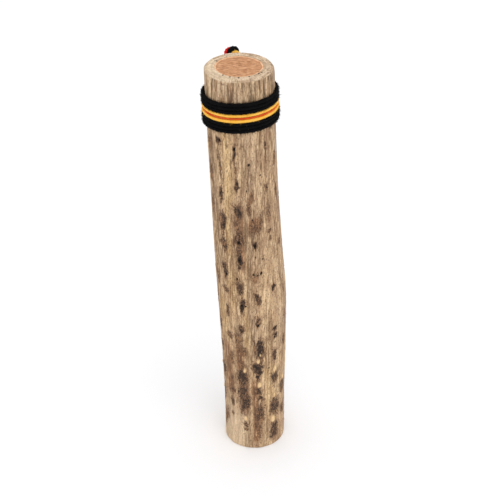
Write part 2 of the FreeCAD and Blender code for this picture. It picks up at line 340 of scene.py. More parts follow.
def cactus_skin(s, grain, zones, x, height):
    """The weathered skin's colour, before any marks."""
    fibre, strand, streak, dashes, grit = grain
    honey, grey, red = zones
    patch = s.noise(80, 4, 0.65, s.stretched(1, 1, 0.35))
    mixed = s.plus(s.times(strand, 0.34), s.times(streak, 0.22))
    mixed = s.plus(s.plus(mixed, s.times(dashes, 0.32)), 0.064)
    base = s.ramp(
        mixed,
        (0.40, srgb(112, 85, 60)),
        (0.46, srgb(158, 128, 96)),
        (0.51, srgb(191, 159, 123)),
        (0.57, srgb(219, 187, 148)),
        (0.65, srgb(244, 216, 177)),
    )
    base = s.mix(s.times(s.step(patch, 0.48, 0.6), 0.38), base, srgb(167, 130, 101))
    greyed = s.ramp(mixed, (0.41, srgb(86, 70, 57)), (0.5, srgb(156, 129, 103)), (0.61, srgb(214, 185, 153)))
    base = s.mix(s.times(grey, 0.85), base, greyed)
    golden = s.ramp(mixed, (0.41, srgb(150, 110, 66)), (0.5, srgb(214, 178, 126)), (0.6, srgb(246, 215, 160)))
    base = s.mix(s.times(honey, 0.9), base, golden)
    torn = s.plus(s.times(strand, 0.6), s.times(dashes, 0.6))
    rusty = s.times(s.step(s.plus(s.times(red, 0.6), torn), 0.78, 1.1), 0.92)
    rust = s.ramp(dashes, (0.38, srgb(73, 46, 31)), (0.5, srgb(123, 81, 53)), (0.62, srgb(176, 123, 79)))
    base = s.mix(rusty, base, rust)
    lines = s.times(s.step(fibre, 0.52, 0.36), 0.45)
    base = s.mix(lines, base, srgb(112, 84, 58))

    # Above the band the skin is more weathered, in dark and bleached streaks
    above_band = s.step(height, 262 * MM, 285 * MM)
    frayed = s.plus(s.times(strand, 0.55), s.times(patch, 0.45))
    weather = s.times(s.step(frayed, 0.495, 0.425), above_band)
    base = s.mix(s.times(weather, 0.62), base, srgb(70, 54, 41))
    bleached = s.times(s.step(frayed, 0.52, 0.59), above_band)
    base = s.mix(s.times(bleached, 0.4), base, srgb(240, 219, 186))

    specks = s.times(s.step(grit, 0.525, 0.6), 0.72)
    base = s.mix(specks, base, srgb(101, 73, 51))
    pale = s.times(s.step(dashes, 0.53, 0.63), 0.36)
    base = s.mix(pale, base, srgb(246, 218, 176))
    foot_pale = s.times(s.step(height, 50 * MM, 20 * MM), s.step(x, -1 * MM, -12 * MM))
    base = s.mix(s.times(foot_pale, 0.4), base, srgb(232, 208, 176))
    flecks = s.step(s.noise(520, 3, 0.6, s.stretched(1, 1, 0.2)), 0.6, 0.68)
    return s.mix(s.times(flecks, 0.5), base, srgb(90, 64, 45))


def cactus_marks(s, grit, marks, base):
    """Scars, knobs and open holes over the skin, the holes painted near-black as painted shade. Also returns
    where the scars and the holes are.
    """
    scar, tone, hole, knob = marks
    ragged = s.times(s.minus(s.noise(900, 6, 0.75, s.stretched(1, 1, 0.35)), 0.5), 2.6)
    edge = s.plus(scar, ragged)
    halo = s.times(s.step(edge, -0.9, 0.1), 0.5)
    base = s.mix(halo, base, srgb(128, 94, 68))
    crumbs = s.step(s.plus(grit, s.times(edge, 0.07)), 0.475, 0.54)
    crumbs = s.times(crumbs, s.step(edge, -1.1, -0.3))
    base = s.mix(s.times(crumbs, 0.75), base, srgb(82, 58, 44))
    blot = s.noise(420, 4, 0.7, s.stretched(1, 1, 0.5))
    broken = s.times(s.step(s.plus(blot, s.times(tone, 0.22)), 0.5, 0.62), 0.93)
    scar_mass = s.times(s.step(edge, -0.2, 0.24), broken)
    crumble = s.noise(1100, 4, 0.8, s.stretched(1, 1, 0.7))
    shade = s.times(s.minus(s.plus(blot, crumble), 1.0), -3.6)
    scar_colour = s.ramp(
        s.plus(tone, shade),
        (0.05, srgb(158, 120, 86)),
        (0.35, srgb(116, 85, 62)),
        (0.65, srgb(74, 55, 43)),
        (1.0, srgb(32, 25, 21)),
    )
    base = s.mix(scar_mass, base, scar_colour)
    knob_mass = s.step(s.plus(knob, s.times(ragged, 0.2)), 0.05, 0.75)
    base = s.mix(knob_mass, base, s.ramp(grit, (0.3, srgb(206, 166, 116)), (0.7, srgb(240, 210, 162))))
    # Painted shade: the open holes are painted near-black.
    hole_shade = s.step(s.plus(hole, s.times(ragged, 0.2)), 0.1, 0.45)
    return s.mix(hole_shade, base, srgb(30, 21, 15)), scar_mass, hole_shade


def cactus_end(s, x, y, height):
    """The sawn and sanded ends: rings and rays about the stem's own centre, with a painted highlight towards
    the front-left.
    """
    x = s.minus(x, s.times(height, TOP_OFFSET / LENGTH))
    turn = s.math("ARCTAN2", y, x)
    radius = s.math("SQRT", s.plus(s.times(x, x), s.times(y, y)))
    rays = s.noise(1500, 3, 0.6, s.combined(s.times(turn, 0.023), s.times(radius, 0.22)))
    rings = s.noise(700, 3, 0.6, s.combined(s.times(turn, 0.0016), radius))
    colour = s.ramp(
        s.plus(s.times(rays, 0.5), s.times(rings, 0.5)),
        (0.38, srgb(128, 100, 75)),
        (0.47, srgb(190, 162, 132)),
        (0.56, srgb(226, 204, 176)),
    )
    clouds = s.step(s.noise(110, 3), 0.48, 0.64)
    colour = s.mix(s.times(clouds, 0.55), colour, srgb(172, 142, 114))
    by_skin = s.step(radius, 18.5 * MM, 21.5 * MM)
    dirt = s.plus(s.noise(380, 4, 0.7), s.times(by_skin, 0.045))
    dirt = s.plus(dirt, s.times(s.math("ABSOLUTE", x), 2.2))
    colour = s.mix(s.times(s.step(dirt, 0.57, 0.66), 0.6), colour, srgb(118, 94, 74))
    cracks = s.times(s.step(rays, 0.42, 0.35), s.step(radius, 16.5 * MM, 19.5 * MM))
    colour = s.mix(s.times(cracks, 0.6), colour, srgb(96, 74, 56))
    # Painted highlight: the end faces and their rim are painted paler towards the front-left.
    front_left_highlight = s.step(s.plus(x, s.times(y, 0.45)), -6 * MM, -17 * MM)
    return s.mix(s.times(front_left_highlight, 0.34), colour, srgb(236, 215, 184))


def cactus_material():
    """Dry cactus wood. Vertex fields place scars and zones, and noise gives them grain and ragged edges."""
    s = Shader("cactus_wood")
    place = s.make("ShaderNodeSeparateXYZ")
    s.put(place.inputs[0], s.object_coords)
    x, y, height = place.outputs
    fibre_way = s.stretched(1, 1, 0.07)
    dash_way = s.stretched(1, 1, 0.12)
    fibre = s.noise(1500, 4, 0.65, fibre_way)
    strand = s.noise(420, 3, 0.6, fibre_way, 0.3)
    streak = s.noise(120, 3, 0.55, dash_way, 0.4)
    dashes = s.noise(850, 5, 0.75, dash_way)
    grit = s.noise(1400, 4, 0.75, s.stretched(1, 1, 0.42))
    *zones, end = s.field("zones")
    base = cactus_skin(s, (fibre, strand, streak, dashes, grit), zones, x, height)
    base, scar_mass, hole_shade = cactus_marks(s, grit, s.field("marks"), base)
    base = s.mix(end, base, cactus_end(s, x, y, height))
    # Painted shade: the pores in the sawn ends are painted dark.
    base = s.mix(s.times(hole_shade, end), base, srgb(40, 26, 18))
    roughness = s.plus(s.times(grit, 0.25), 0.62)
    s.set(Base_Color=base, Roughness=roughness, Specular_IOR_Level=0.25)
    relief = s.plus(s.times(fibre, 0.6), s.times(strand, 0.8))
    relief = s.plus(relief, s.times(grit, 0.35))
    grained = s.bump(relief, 0.55, 0.35)
    s.set(Normal=s.bump(s.minus(1.0, scar_mass), 0.35, 0.4, grained))
    return s.material


def plug_material():
    s = Shader("plug_wood")
    grain = s.noise(900, 4, 0.65, s.stretched(0.35, 1, 1))
    clouds = s.noise(230, 3, 0.6)
    pores = s.voronoi(1400, s.stretched(0.6, 1, 1))
    base = s.ramp(
        grain,
        (0.38, srgb(146, 94, 58)),
        (0.46, srgb(178, 124, 80)),
        (0.54, srgb(196, 144, 102)),
        (0.62, srgb(214, 164, 124)),
    )
    base = s.mix(s.times(s.step(clouds, 0.46, 0.6), 0.4), base, srgb(192, 134, 94))
    base = s.mix(s.times(s.step(pores, 0.22, 0.08), 0.45), base, srgb(120, 70, 38))
    s.set(Base_Color=base, Roughness=s.plus(s.times(clouds, 0.3), 0.45), Specular_IOR_Level=0.3)
    s.set(Normal=s.bump(grain, 0.4, 0.15, s.bump(pores, 0.3, 0.1)))
    return s.material


def glue_material():
    s = Shader("wood_glue")
    lumps = s.noise(420, 4, 0.6)
    dust = s.noise(1800, 2, 0.6)
    base = s.ramp(lumps, (0.3, srgb(206, 146, 100)), (0.5, srgb(236, 186, 142)), (0.7, srgb(248, 214, 178)))
    base = s.mix(s.times(s.step(dust, 0.56, 0.66), 0.35), base, srgb(176, 120, 78))
    s.set(Base_Color=base, Roughness=s.plus(s.times(dust, 0.4), 0.3), Specular_IOR_Level=0.4)
    s.set(Normal=s.bump(lumps, 0.5, 0.3, s.bump(dust, 0.3, 0.08)))
    return s.material


def yarn_material(name, dark, mid, light, sheen):
    """Wool: uneven dye, fine fibres along the ply and a soft sheen."""
    s = Shader(name)
    hairs = s.noise(2600, 3, 0.7, distortion=0.6)
    dye = s.noise(160, 3, 0.6)
    both = s.plus(s.times(hairs, 0.6), s.times(dye, 0.4))
    base = s.ramp(both, (0.35, dark), (0.5, mid), (0.66, light))
    s.set(Base_Color=base, Roughness=s.plus(s.times(hairs, 0.2), 0.78), Specular_IOR_Level=0.12)
    s.set(Sheen_Weight=sheen, Sheen_Roughness=0.55, Sheen_Tint=light)
    s.set(Normal=s.bump(hairs, 0.6, 0.2))
    return s.material


def thorn_material():
    s = Shader("thorn")
    streak = s.noise(900, 3, 0.6)
    base = s.ramp(streak, (0.3, srgb(44, 27, 16)), (0.55, srgb(92, 60, 34)), (0.75, srgb(150, 110, 66)))
    s.set(Base_Color=base, Roughness=s.plus(s.times(streak, 0.3), 0.3))
    s.set(Normal=s.bump(streak, 0.3, 0.1))
    return s.material


def pebble_material():
    """River pebbles. Each has its own shade from a vertex field."""
    s = Shader("pebble")
    shade = s.field("shade")[0]
    speck = s.noise(2200, 4, 0.7)
    vein = s.noise(500, 2, 0.5, s.stretched(1, 1, 0.3), 1.5)
    base = s.ramp(
        shade,
        (0.0, srgb(82, 74, 68)),
        (0.3, srgb(128, 112, 96)),
        (0.55, srgb(160, 132, 104)),
        (0.8, srgb(176, 168, 156)),
        (1.0, srgb(112, 82, 66)),
    )
    base = s.mix(s.times(s.step(speck, 0.5, 0.65), 0.5), base, srgb(196, 186, 170))
    base = s.mix(s.times(s.step(vein, 0.6, 0.64), 0.5), base, srgb(214, 206, 196))
    s.set(Base_Color=base, Roughness=s.plus(s.times(speck, 0.3), 0.35))
    s.set(Normal=s.bump(speck, 0.4, 0.08))
    return s.material


WOOD = cactus_material()
PLUG = plug_material()
GLUE = glue_material()
THORN = thorn_material()
PEBBLE = pebble_material()
BLACK = yarn_material("black_yarn", srgb(2, 2, 3), srgb(6, 6, 8), srgb(13, 12, 15), 0.02)
YELLOW = yarn_material("yellow_yarn", srgb(232, 162, 44), srgb(250, 190, 74), srgb(255, 212, 112), 0.15)
RED = yarn_material("red_yarn", srgb(204, 58, 24), srgb(228, 84, 36), srgb(240, 116, 58), 0.15)
CORD_RED = yarn_material("cord_red", srgb(176, 14, 16), srgb(214, 24, 22), srgb(236, 56, 40), 0.2)

# ---- the stem
# Thorn scars placed one by one: degrees round from the front, height, width, tall, tone (0 rusty, 1 black)
FRONT_SCARS = (
    # the rib at the left edge
    (-66, 251, 3.0, 10, 0.4), (-66, 229, 3.6, 12, 0.5), (-66, 205, 3.2, 10, 0.35), (-68, 150, 3.0, 9, 0.4),
    # the second rib to the left
    (-41, 257, 3.0, 5, 0.8), (-40, 237, 1.9, 15, 0.55), (-41, 217, 2.4, 11, 0.75),
    (-41, 195, 4.4, 14, 0.75), (-47, 197, 3.0, 5, 0.35), (-41, 178, 3.8, 8, 0.75), (-46, 179, 4.0, 4, 0.5),
    (-43, 157, 3.2, 11, 0.75), (-45, 142, 4.6, 4, 0.65), (-44, 124, 2.6, 8, 0.55), (-44, 102, 3.6, 5, 0.5),
    (-42, 82, 2.6, 8, 0.4), (-44, 62, 2.2, 6, 0.45), (-46, 53, 4.6, 6, 0.55), (-46, 40, 3.0, 5, 0.7),
    (-46, 30, 1.8, 3, 0.3),
    # the rib left of the front
    (-13, 250, 1.8, 10, 0.75), (-12, 226, 1.7, 8, 0.8), (-12, 238, 1.0, 16, 0.3), (-11, 206, 4.6, 9, 0.85),
    (-14, 185, 5.8, 9, 0.7), (-14, 176, 3.2, 9, 0.6), (-14, 169, 3.6, 6, 0.95), (-15, 163, 2.4, 4, 0.7),
    (-17, 146, 4.2, 9, 0.8), (-16, 131, 3.4, 10, 0.95), (-20, 110, 3.0, 6, 0.8), (-26, 102, 4.0, 9, 0.5),
    (-28, 99, 2.4, 12, 0.35), (-18, 91, 3.4, 8, 0.45), (-27, 92, 2.6, 8, 0.3), (-22, 67, 6.8, 13, 0.85),
    (-22, 54, 6.4, 22, 0.72), (-18, 42, 6.2, 15, 0.75), (-14, 195, 3.4, 18, 0.4), (-21, 78, 4.4, 5, 0.4),
    (-17, 23, 3.8, 4, 0.6), (-17, 18, 2.8, 3, 0.5),
    # the rib right of the front
    (12, 216, 3.0, 6, 0.25), (7, 209, 1.8, 8, 0.5), (13, 194, 4.4, 10, 0.5), (26, 197, 3.4, 10, 0.45),
    (20, 193, 5.0, 7, 0.4), (14, 179.5, 2.6, 5, 0.95), (10, 153, 3.6, 5, 0.3), (11, 137, 3.6, 7, 0.8),
    (10, 118, 3.8, 8, 0.8), (13, 94, 5.0, 15, 0.95), (13, 83, 3.0, 8, 0.6), (3, 94, 1.6, 16, 0.5),
    (8, 74.5, 6.4, 10, 1.0), (7, 54, 4.8, 6, 0.7), (12, 47.5, 4.0, 4.5, 0.7), (10, 33, 5.8, 14, 0.65),
    (9, 20, 4.6, 16, 0.15), (8, 68, 2.2, 7, 0.8),
    # the next to the right
    (42, 252, 1.4, 6, 0.6), (42, 243, 1.1, 5, 0.4), (43, 222, 2.6, 5, 0.45), (45, 203, 3.2, 9, 0.15),
    (44, 188.5, 3.0, 4, 0.5), (44, 182.5, 2.2, 3, 0.4), (41, 142, 2.2, 4, 0.95), (45, 145, 2.2, 4, 0.95),
    (42, 107, 2.8, 5, 0.9), (44, 101, 3.2, 4, 0.95), (42, 84, 3.6, 8, 0.75), (43, 63, 5.8, 9, 0.8),
    (39, 37, 5.6, 13, 0.75), (48, 35, 4.8, 13, 0.7), (42, 14, 7.0, 13, 0.8),
    # the rib at the right edge
    (68, 240, 2.6, 9, 0.5), (69, 216, 2.6, 8, 0.5), (69, 175, 3.0, 4, 0.5), (70, 137, 2.4, 4, 0.4),
    (70, 115, 2.6, 6, 0.5), (69, 93, 3.4, 8, 0.6), (67, 50, 5.6, 10, 0.65), (69, 28, 4.6, 9, 0.6),
)
# Raised pale knobs: degrees round from the front, height, width, tall
FRONT_KNOBS = (
    (9, 82, 2.8, 3.4), (10, 60, 3.0, 3.6), (43, 71, 3.4, 4.2), (41, 46.5, 1.8, 3.0), (38, 24.5, 3.6, 5.0),
    (-17, 74, 2.0, 3.4), (-17, 28, 2.8, 3.6), (13, 87.5, 1.2, 2.0), (67, 58, 2.6, 4.0),
)
# Open holes: degrees round from the front, height, diameter
FRONT_HOLES = (
    (-13, 252.5, 1.7), (11, 241, 1.4), (8, 157, 1.5), (15, 156, 1.2), (22, 157, 1.9), (-21, 153, 1.2),
    (-10, 131, 1.1), (30, 74, 1.1), (13, 170.5, 1.0), (-40, 257, 1.5), (-14, 182, 1.8), (-15, 168, 1.6),
    (14, 179, 1.7), (-17, 131, 1.6), (11, 114, 1.2), (44, 95.5, 1.0), (47, 189, 1.0), (-42, 154, 1.6),
    (12, 200, 1.0), (43, 101, 1.4), (-41, 194, 1.2), (31, 232, 0.9), (5, 222, 0.9), (27, 168, 0.9),
)


def stem_marks():
    """Scars, knobs and holes as (angle, height, width, ...): the front's own, and a like pattern behind."""
    rng = np.random.default_rng(21)
    front = math.radians(FRONT_DEG)
    scars = [(front + math.radians(turn), *rest) for turn, *rest in FRONT_SCARS]
    knobs = [(front + math.radians(turn), *rest) for turn, *rest in FRONT_KNOBS]
    holes = [(front + math.radians(turn), *rest) for turn, *rest in FRONT_HOLES]
    for row in range(3, RIBS - 2):
        for z in thorn_heights(row):
            if row == RIBS - 3 and z > 140:
                continue
            low = 1 - smooth(40, 150, z)
            angle = rib_angle(row) + rng.uniform(-0.05, 0.05)
            width = rng.uniform(1.8, 3.6) + 2.6 * low
            tall = rng.uniform(4, 12) + 4 * low
            scars.append((angle, z + rng.uniform(-3, 3), width, tall, rng.uniform(0.15, 0.75 + 0.2 * low)))
            if 3 < row < RIBS - 3 and rng.uniform() < 0.1 + 0.6 * low:
                knobs.append((angle, z + tall / 2 + 1.5, rng.uniform(1.8, 3.0), rng.uniform(3.0, 4.6)))
            if rng.uniform() < 0.45:
                hole_angle = angle + rng.uniform(-0.08, 0.08)
                holes.append((hole_angle, z + rng.uniform(-4, 4), rng.uniform(1.0, 1.8)))
    return scars, knobs, holes


def turn_between(angle, centre):
    """The turn from centre to angle, in -pi..pi."""
    return (angle - centre + math.pi) % TAU - math.pi


# Small pores on the end faces, by the glue: direction in degrees, distance from the middle
END_PORES = ((-128, 15.9), (-110, 16.1), (-90, 16.0), (-66, 16.0), (-40, 16.2), (-31, 16.6), (150, 16.2))
# Colour zones on the front: degrees round from the front, half width, from height, to height, strength
FRONT_ZONES = {
    "honey": (
        (-27, 9, 208, 270, 0.75), (-31, 5.5, 172, 212, 0.75), (-54, 9, 96, 138, 0.7), (38, 16, 24, 76, 0.55),
        (-9, 4, 92, 140, 0.5), (24, 6, 72, 96, 0.3), (3, 5, 30, 70, 0.4), (-30, 8, 126, 160, 0.5),
    ),
    "grey": (
        (12, 20, 160, 262, 0.75), (2, 5, 88, 150, 0.7), (-67, 8, 190, 262, 0.8), (-25, 7, 96, 116, 1.0),
        (62, 9, 90, 160, 0.4), (-10, 9, 280, 300, 0.9), (8, 9, 280, 300, 0.6),
        (10, 13, 220, 262, 1.0), (0, 15, 98, 132, 0.8),
    ),
    "red": (
        (-54, 16, 46, 96, 0.85), (-24, 11, 70, 97, 1.0), (4, 9, 5, 66, 0.95), (16, 13, 189, 202, 1.0),
        (13, 7, 211, 222, 0.6), (-9, 12, 158, 212, 0.7), (-20, 13, 30, 76, 0.9), (12, 8, 84, 150, 0.4),
        (-14, 5, 205, 262, 0.45), (40, 6, 150, 230, 0.3), (62, 8, 168, 200, 0.4),
        (-12, 8, 282, 300, 0.6), (60, 9, 284, 300, 0.5), (42, 12, 20, 46, 0.4),
        (8, 11, 224, 262, 0.4), (10, 9, 98, 132, 0.3),
    ),
}


def front_zone(name, turn, z):
    """A zone's strength, from soft-edged patches on the front."""
    strength = np.zeros(z.shape)
    for middle, half, low, high, most in FRONT_ZONES[name]:
        across = np.exp(-(((turn - math.radians(middle)) / math.radians(half)) ** 2))
        along = smooth(low - 7, low + 7, z) * smooth(high + 7, high - 7, z)
        strength = np.maximum(strength, most * across * along)
    return strength


def mark_fields(angle, z):
    """For each point: how far into a scar it lies, the scar's tone, hole, knob, and the rust round scars."""
    r = station(z, STATION_R)
    scars, knobs, holes = stem_marks()
    rng = np.random.default_rng(5)
    drift_across = 0.7 * lattice_noise(51, angle, z, 62, 3.4) + 0.35 * lattice_noise(52, angle, z, 130, 1.7)
    drift_up = 1.6 * lattice_noise(53, angle, z, 70, 4.5) + 0.8 * lattice_noise(54, angle, z, 130, 2.2)
    scar, tone, tails = np.full(z.shape, -1.0), np.zeros(z.shape), np.zeros(z.shape)
    for centre, height, width, tall, dark in scars:
        taper = rng.uniform(-0.35, 0.5)
        skew = rng.uniform(-0.12, 0.12)
        rise = z + drift_up - height
        up = rise / (tall / 2)
        near = np.abs(up) < 4
        across = turn_between(angle[near], centre) * r[near] + drift_across[near] - skew * rise[near]
        half = width / 2 * (1 + taper * np.clip(up[near], -1.2, 1.2))
        d = 1 - (np.abs(across / half) ** 2.4 + np.abs(up[near]) ** 2.4) ** (1 / 2.4)
        better = d > scar[near]
        scar[near] = np.where(better, d, scar[near])
        tone[near] = np.where(better, dark, tone[near])
        tail = (0.35 + 0.5 * dark) * np.exp(-((across / (half + 0.4)) ** 2) - np.abs(up[near] / 2.1) ** 2)
        tails[near] = np.maximum(tails[near], tail)
    knob, hole = np.zeros(z.shape), np.zeros(z.shape)
    for centre, height, width, tall in knobs:
        across = (turn_between(angle, centre) * r + 0.5 * drift_across) / (width / 2)
        up = (z + 0.4 * drift_up - height) / (tall / 2)
        knob = np.maximum(knob, np.clip(1.25 - np.hypot(across, np.where(up > 0, up * 0.6, up)), 0, 1))
    for centre, height, size in holes:
        across = turn_between(angle, centre) * r + 0.3 * drift_across
        hole = np.maximum(hole, np.clip(1.3 - np.hypot(across, (z - height) * 0.8) / (size / 2), 0, 1))
    return scar, tone, hole, knob, tails


def zone_fields(angle, z, tails):
    """Honey, grey and rusty zones: the front's own, and behind it patches of noise."""
    wander = 0.07 * lattice_noise(31, angle, z, 5, 60) + 0.05 * lattice_noise(36, angle, z, 13, 22)
    turn = turn_between(angle, math.radians(FRONT_DEG)) + wander
    behind = smooth(1.15, 1.5, np.abs(turn))
    patchy = lattice_noise(32, angle, z, 17, 34) * 0.5 + lattice_noise(33, angle, z, 41, 15) * 0.5
    honey = front_zone("honey", turn, z)
    honey = np.maximum(honey, 0.75 * smooth(0.15, 0.6, lattice_noise(34, angle, z, 9, 70)) * behind)
    grey = front_zone("grey", turn, z) * (0.75 + 0.5 * patchy)
    grey = np.maximum(grey, 0.8 * smooth(0.1, 0.7, patchy) * behind)
    grey = np.clip(grey * (1 - honey), 0, 1)
    red = front_zone("red", turn, z)
    red = np.maximum(red, 0.7 * smooth(0.2, 0.7, lattice_noise(35, angle, z, 11, 45)) * behind)
    return honey, grey, np.clip(np.maximum(red, 0.9 * tails), 0, 1)


def skin_relief(angle, z, scar, tone, hole, knob):
    """How far the skin stands out, in millimetres: waves, cracks, sunken scars, knobs and holes."""
    relief = 0.085 * lattice_noise(41, angle, z, 118, 26) + 0.06 * lattice_noise(42, angle, z, 64, 40)
    relief += 0.10 * lattice_noise(43, angle, z, 26, 30) + 0.16 * lattice_noise(44, angle, z, 9, 34)
    relief += 0.035 * lattice_noise(45, angle, z, 130, 3.2)
    crack = lattice_noise(46, angle, z, 52, 38)
    relief -= 0.28 * smooth(0.07, 0.0, np.abs(crack)) * smooth(0.0, 0.6, lattice_noise(47, angle, z, 20, 46))
    floor = smooth(-0.15, 0.3, scar)
    relief -= floor * (0.42 + 0.12 * lattice_noise(48, angle, z, 120, 2.2) + 0.18 * tone)
    relief += 0.12 * smooth(-0.5, -0.1, scar) * (1 - floor)
    relief += 0.6 * smooth(0.0, 1.0, knob)
    relief -= 1.5 * smooth(0.05, 0.8, hole)
    return relief


def build_stem():
    """One closed skin of rings: the outside, top face, top seat, hollow, foot seat and foot face."""
    around = 260
    outer_rows = 346
    angle = FIRST_RIB + TAU * np.arange(around) / around
    low, high = FOOT_CHAMFER, LENGTH - TOP_CHAMFER
    grid_angle, grid_z = np.meshgrid(angle, np.linspace(low, high, outer_rows))
    scar, tone, hole, knob, tails = mark_fields(grid_angle, grid_z)
    honey, grey, red = zone_fields(grid_angle, grid_z, tails)
    relief = skin_relief(grid_angle, grid_z, scar, tone, hole, knob)
    ends = smooth(low - 1, low + 6, grid_z) * smooth(high + 0.6, high - 3, grid_z)
    radius = skin_radius(grid_angle, grid_z) + relief * (0.25 + 0.75 * ends)
    radius -= 0.6 * RIB_DEPTH * (1 - ends) * np.cos(RIBS * (grid_angle - FIRST_RIB))
    centre = station(grid_z, STATION_X)
    rings = [np.stack([centre + radius * np.cos(grid_angle), radius * np.sin(grid_angle), grid_z], -1)]
    marks = [np.stack([scar, tone, hole, knob], -1)]
    zones = [np.stack([honey, grey, red, np.zeros_like(red)], -1)]
    rng = np.random.default_rng(8)
    pores = [(math.radians(turn), out, 0.6) for turn, out in END_PORES]
    pores += [(rng.uniform(0, TAU), rng.uniform(16.2, 19.6), rng.uniform(0.25, 0.4)) for _ in range(7)]

    def ring(x, z, radii, end=1.0, dark=0.0):
        """One more ring of unscarred wood. end is 1 where it is sawn, and dark marks the pores, which are
        painted dark as painted shade.
        """
        none = np.zeros(around)
        rings.append((circle(angle, radii, z) + (x, 0, 0))[None])
        marks.append(np.stack([none - 1, none, none + dark, none], -1)[None])
        zones.append(np.stack([none, none, none, none + end], -1)[None])

    def face_rings(x, z, edge, sign):
        """Rings across an end face, from the chamfer in to the seat, or the other way for the foot."""
        shares = np.linspace(0, 1, END_RINGS)
        for share in shares if sign > 0 else shares[::-1]:
            radii = edge * (1 - share) + SEAT_R * share
            pits = np.zeros(around)
            for turn, out, size in pores:
                gap = np.hypot(turn_between(angle, turn) * out, radii - out)
                pits = np.maximum(pits, np.clip(1.3 - gap / size, 0, 1))
            wear = 0.05 * (lattice_noise(61, angle, np.full(around, 30 * share), 40, 8) - 1)
            inside = 0 < share < 1
            level = z + sign * inside * (wear - 0.5 * pits)
            ring(x, level, radii, 1.0, pits)

    top_edge = radius[-1]
    for t in (0.35, 0.7, 0.92):
        ring(TOP_OFFSET, LENGTH - TOP_CHAMFER * (1 - t) ** 1.4, top_edge - TOP_CHAMFER * t**1.3)
    face_rings(TOP_OFFSET, LENGTH, top_edge - TOP_CHAMFER, 1)
    seat_z = LENGTH - SEAT_DEPTH
    ring(TOP_OFFSET, seat_z, SEAT_R)
    ring(TOP_OFFSET * seat_z / LENGTH, seat_z, BORE_MOUTH_R)
    for z in np.linspace(seat_z - MOUTH_TAPER, SEAT_DEPTH + MOUTH_TAPER, 5):
        ring(TOP_OFFSET * z / LENGTH, z, BORE_R, 0.0)
    ring(TOP_OFFSET * SEAT_DEPTH / LENGTH, SEAT_DEPTH, BORE_MOUTH_R)
    ring(0.0, SEAT_DEPTH, SEAT_R)
    foot_edge = radius[0]
    face_rings(0.0, 0.0, foot_edge - FOOT_CHAMFER, -1)
    ring(0.0, FOOT_CHAMFER * 0.25, foot_edge - FOOT_CHAMFER * 0.45, 0.6)

    verts = np.concatenate(rings).reshape(-1, 3)
    fields = {"marks": np.concatenate(marks).reshape(-1, 4), "zones": np.concatenate(zones).reshape(-1, 4)}
    faces = ring_faces(len(verts) // around, around, closed=True)
    add_object("stem", verts, faces, WOOD, "stick", ["cactus_tube"], fields)


def seated(verts, top):
    """Something drawn hanging below z = 0, moved into the top seat or turned over into the foot's."""
    return verts + (TOP_OFFSET, 0, LENGTH) if top else verts * (1, -1, -1)


def build_plug(name, top):
    """A turned disc with a slightly dished, sanded face."""
    around = 128
    face_z = -PLUG_RECESS
    profile = [(PLUG_R, -SEAT_DEPTH), (PLUG_R, face_z - 0.5)]
    profile += [(PLUG_R - 0.12, face_z - 0.2), (PLUG_R - 0.45, face_z)]
    profile += [(PLUG_R * share, face_z) for share in np.linspace(0.93, 0.04, 22)]
    back = [(PLUG_R * share, -SEAT_DEPTH) for share in (0.04, 0.5, 0.93)]
    angle = TAU * np.arange(around) / around
    verts = []
    for n, (radius, level) in enumerate(profile + back):
        dish = 0.0
        if 3 <= n < len(profile):
            wave = lattice_noise(71, angle, np.full(around, radius * 6), 30, 12)
            dish = 0.035 * wave - 0.06 * math.cos(radius / PLUG_R * math.pi / 2)
        verts.append(circle(angle, radius, level + dish))
    rows = len(verts)
    # Face and back each end in a small cap at the middle, and the wall joins the back's rim to the first ring
    face_last, back_first = len(profile) - 1, len(profile)
    faces = [f for f in ring_faces(rows, around) if f[0] // around != face_last]
    faces.append(tuple(range(face_last * around, (face_last + 1) * around)))
    faces.append(tuple(reversed(range(back_first * around, (back_first + 1) * around))))
    last = (rows - 1) * around
    faces += [(last + i, last + (i + 1) % around, (i + 1) % around, i) for i in range(around)]
    verts = seated(np.concatenate(verts), top)
    add_object(name, verts, faces, PLUG, "stick", [name.replace("_wood", "")])


def build_glue(name, top):
    """A bead of glue and sawdust, wiped nearly flush, that fills the gap round a plug."""
    around = 180
    angle = TAU * np.arange(around) / around
    crown = 0.12 * lattice_noise(73 + top, angle, np.full(around, 20.0), 36, 12)
    inner, outer = PLUG_R + 0.02, SEAT_R - 0.02
    # Radius, level and how much of the lumpy crown shows there
    profile = (
        (inner, -SEAT_DEPTH, 0), (outer, -SEAT_DEPTH, 0), (outer, -0.32, 0.4), (PLUG_R + 0.72, -0.22, 1),
        (PLUG_R + 0.5, -0.18, 1), (PLUG_R + 0.28, -0.2, 1), (inner, -0.3, 0.4),
    )
    verts = [circle(angle, radius, level + crown * loose) for radius, level, loose in profile]
    verts = seated(np.concatenate(verts), top)
    faces = ring_faces(len(profile), around, closed=True)
    add_object(name, verts, faces, GLUE, "stick", [name.replace("_bead", "_ring")])


# ---- yarn
def frames_along(points):
    """Tangents and a pair of normals carried along a path without twisting."""
    tangents = np.gradient(points, axis=0)
    tangents /= np.linalg.norm(tangents, axis=1)[:, None]
    side = np.cross(tangents[0], (0.3, 0.2, 0.93))
    sides = []
    for t in tangents:
        side = side - t * (side @ t)
        side = side / np.linalg.norm(side)
        sides.append(side)
    sides = np.array(sides)
    return tangents, sides, np.cross(tangents, sides)


def loose_fibre(rng, start, out, along, yarn_r, hair_r):
    """Four rings of three points, on a fibre that leaves the yarn's surface and drifts off it."""
    drift = rng.normal(0, 0.35, 3)
    length = HAIR_LENGTH * rng.uniform(0.4, 1.0)
    base = start + out * yarn_r * 0.8
    points = []
    for share in (0.0, 0.35, 0.7, 1.0):
        lift = yarn_r * 0.2 * min(share * 3, 1) + length * 0.45 * share**0.8
        centre = base + out * lift + along * length * share + drift * length * share**2
        width = hair_r * (1 - 0.6 * share)
        for corner in range(3):
            b = TAU * corner / 3
            points.append(centre + width * (out * math.cos(b) + np.cross(along, out) * math.sin(b)))
    return np.array(points)


